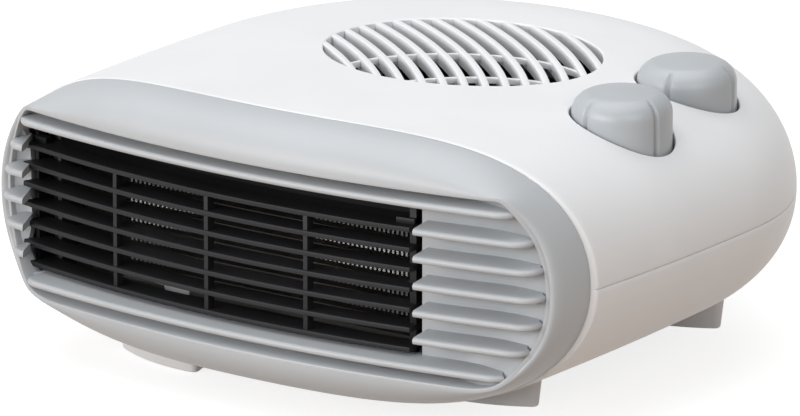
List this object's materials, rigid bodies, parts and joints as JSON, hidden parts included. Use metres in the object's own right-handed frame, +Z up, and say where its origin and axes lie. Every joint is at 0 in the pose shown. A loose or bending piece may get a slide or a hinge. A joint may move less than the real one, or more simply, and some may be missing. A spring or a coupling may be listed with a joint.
{
  "type": "fan heater",
  "caption": "Flat fan heater with a finned, wrap round outlet bezel, a curved intake grille in its top and two turning knobs.",
  "frame": {"origin": "on the floor, under the middle of the housing's width and depth", "axes": "+X across the heater towards the knobs, -Y out of the air outlet, +Z up"},
  "size_m": [0.244, 0.225, 0.105],
  "materials": {
    "white_plastic": "fine satin moulding",
    "grey_plastic": "satin moulding",
    "black_plastic": "matt moulding",
    "cream_plastic": "matt moulding",
    "mica": "pressed mica board",
    "steel": "plain",
    "copper": "enamelled winding",
    "brass": "sintered bush",
    "resistance_strip": "wound strip"
  },
  "bodies": {
    "housing": {"top_cover": "white_plastic", "bottom_cover": "white_plastic", "front_bezel": "grey_plastic", "outlet_grille": "black_plastic", "fan_scroll": "black_plastic", "motor_stator": "steel", "motor_coil": "copper", "lower_bracket": "steel", "upper_bracket": "steel", "lower_bush": "brass", "upper_bush": "brass", "motor_screws": "steel", "element_frame": "mica", "heating_element": "resistance_strip", "thermal_cutout": "steel", "control_bracket": "steel", "control_screws": "steel", "selector_switch": "cream_plastic", "thermostat_body": "cream_plastic", "terminal_block": "cream_plastic", "cord_clamp": "white_plastic", "clamp_screws": "steel", "cord_inlet": "black_plastic", "case_screws": "steel"},
    "fan": {"impeller": "black_plastic", "fan_shaft": "steel", "motor_rotor": "steel"},
    "selector": {"selector_spindle": "steel", "selector_knob": "grey_plastic"},
    "thermostat": {"thermostat_spindle": "steel", "thermostat_knob": "grey_plastic"}
  },
  "joints": [
    {"name": "fan_spin", "type": "hinge", "parent": "housing", "child": "fan", "pos_m": [0.006, 0.009, 0.05], "axis": [0, 0, 1], "continuous": true},
    {"name": "selector_turn", "type": "hinge", "parent": "housing", "child": "selector", "pos_m": [0.088, -0.0183, 0.08], "axis": [0, 0, -1], "range_deg": [0, 270]},
    {"name": "thermostat_turn", "type": "hinge", "parent": "housing", "child": "thermostat", "pos_m": [0.082, 0.0305, 0.08], "axis": [0, 0, -1], "range_deg": [0, 300]}
  ]
}
